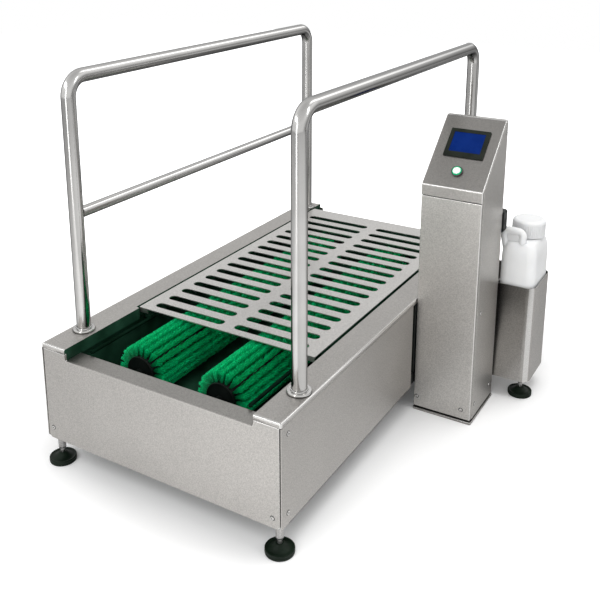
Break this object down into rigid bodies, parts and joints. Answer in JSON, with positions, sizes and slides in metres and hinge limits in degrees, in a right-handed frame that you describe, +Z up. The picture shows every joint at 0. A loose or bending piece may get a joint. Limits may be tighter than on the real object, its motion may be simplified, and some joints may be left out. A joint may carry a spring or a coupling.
{
  "type": "boot washer",
  "caption": "Walk-through boot washer: a low steel body with turning brushes under a slotted grate, handrails, a control column and a canister holder.",
  "frame": {"origin": "middle of the footprint's box, on the floor", "axes": "X across the walkway towards the control column, Y along the walkway from the open end inwards, Z up"},
  "size_m": [1.1956, 1.6, 1.219],
  "materials": {
    "sheet_steel": "fine ground stainless sheet, satin",
    "polished_steel": "polished stainless tube",
    "dark_steel": "dark paint, satin",
    "grey_metal": "satin",
    "black_plastic": "moulded, matt",
    "black_rubber": "matt",
    "green_bristle": "nylon bristle",
    "tub_steel": "wet stainless sheet in shade",
    "screen_blue": "dark blue display cover, gloss, bare",
    "lit_green": "translucent ring, lit",
    "white_plastic": "natural polyethylene, satin"
  },
  "bodies": {
    "housing": {"base_frame": "dark_steel", "front_panel": "sheet_steel", "rear_panel": "sheet_steel", "left_side_panel": "sheet_steel", "right_front_panel": "sheet_steel", "right_rear_panel": "sheet_steel", "left_ledge": "sheet_steel", "right_ledge": "sheet_steel", "front_threshold": "sheet_steel", "rear_threshold": "sheet_steel", "tub": "tub_steel", "left_front_bearing": "grey_metal", "right_front_bearing": "grey_metal", "left_rear_bearing": "grey_metal", "right_rear_bearing": "grey_metal", "drive_belt": "black_rubber", "gear_motor": "dark_steel", "left_spray_pipe": "sheet_steel", "right_spray_pipe": "sheet_steel", "drain_plug": "sheet_steel", "left_handrail": "polished_steel", "left_mid_rail": "polished_steel", "right_handrail": "polished_steel", "left_front_rosette": "polished_steel", "left_rear_rosette": "polished_steel", "right_front_rosette": "polished_steel", "right_rear_rosette": "polished_steel", "column_base_plate": "sheet_steel", "column_body": "sheet_steel", "column_cover": "sheet_steel", "column_head": "sheet_steel", "column_link": "black_plastic", "screen_bezel": "black_plastic", "screen": "screen_blue", "button_bezel": "polished_steel", "isolator_base": "black_plastic", "canister_holder": "sheet_steel"},
    "walking_grate": {"grate": "sheet_steel"},
    "left_brush": {"left_brush_core": "black_plastic", "left_brush_tufts": "green_bristle", "left_brush_pulley": "grey_metal"},
    "right_brush": {"right_brush_core": "black_plastic", "right_brush_tufts": "green_bristle", "right_brush_pulley": "grey_metal"},
    "motor_wheel": {"motor_pulley": "grey_metal"},
    "start_button": {"button_ring": "lit_green", "button_cap": "white_plastic"},
    "isolator_switch": {"isolator_knob": "black_plastic"},
    "cleaner_canister": {"canister": "white_plastic"},
    "canister_lid": {"canister_cap": "white_plastic"},
    "left_front_foot": {"left_front_foot_pad": "black_rubber", "left_front_foot_stem": "polished_steel"},
    "left_rear_foot": {"left_rear_foot_pad": "black_rubber", "left_rear_foot_stem": "polished_steel"},
    "right_front_foot": {"right_front_foot_pad": "black_rubber", "right_front_foot_stem": "polished_steel"},
    "right_rear_foot": {"right_rear_foot_pad": "black_rubber", "right_rear_foot_stem": "polished_steel"},
    "holder_foot": {"holder_foot_pad": "black_rubber", "holder_foot_stem": "polished_steel"}
  },
  "joints": [
    {"name": "left_brush_turn", "type": "hinge", "parent": "housing", "child": "left_brush", "pos_m": [-0.32475, -0.0675, 0.312], "axis": [0, 1, 0], "continuous": true},
    {"name": "right_brush_turn", "type": "hinge", "parent": "housing", "child": "right_brush", "pos_m": [-0.02775, -0.0675, 0.312], "axis": [0, 1, 0], "continuous": true},
    {"name": "motor_turn", "type": "hinge", "parent": "housing", "child": "motor_wheel", "pos_m": [-0.17675, 0.6715, 0.148], "axis": [0, 1, 0], "continuous": true},
    {"name": "grate_lift", "type": "slide", "parent": "housing", "child": "walking_grate", "axis": [0, 0, 1], "range_m": [0, 0.5]},
    {"name": "start_button_press", "type": "slide", "parent": "housing", "child": "start_button", "axis": [0, 0.6864, -0.7272], "range_m": [0, 0.003], "stiffness_N_per_m": 400, "springref_m": -0.002},
    {"name": "isolator_turn", "type": "hinge", "parent": "housing", "child": "isolator_switch", "pos_m": [0.43465, 0.3525, 0.649], "axis": [0, -1, 0], "range_deg": [0, 90]},
    {"name": "canister_lift", "type": "slide", "parent": "housing", "child": "cleaner_canister", "axis": [0, 0, 1], "range_m": [0, 0.38]},
    {"name": "canister_lid_unscrew", "type": "hinge", "parent": "cleaner_canister", "child": "canister_lid", "pos_m": [0.52875, 0.4285, 0.608], "axis": [0, 0, 1], "range_deg": [0, 720]},
    {"name": "left_front_foot_turn", "type": "hinge", "parent": "housing", "child": "left_front_foot", "pos_m": [-0.55625, -0.7585, 0.04], "axis": [0, 0, 1], "continuous": true},
    {"name": "left_rear_foot_turn", "type": "hinge", "parent": "housing", "child": "left_rear_foot", "pos_m": [-0.55625, 0.7585, 0.04], "axis": [0, 0, 1], "continuous": true},
    {"name": "right_front_foot_turn", "type": "hinge", "parent": "housing", "child": "right_front_foot", "pos_m": [0.24275, -0.7585, 0.04], "axis": [0, 0, 1], "continuous": true},
    {"name": "right_rear_foot_turn", "type": "hinge", "parent": "housing", "child": "right_rear_foot", "pos_m": [0.24275, 0.7585, 0.04], "axis": [0, 0, 1], "continuous": true},
    {"name": "holder_foot_turn", "type": "hinge", "parent": "housing", "child": "holder_foot", "pos_m": [0.55625, 0.3605, 0.04], "axis": [0, 0, 1], "continuous": true}
  ],
  "couplings": [
    {"joint": "right_brush_turn", "follows": "left_brush_turn", "ratio": 1},
    {"joint": "motor_turn", "follows": "left_brush_turn", "ratio": 1.6087}
  ]
}
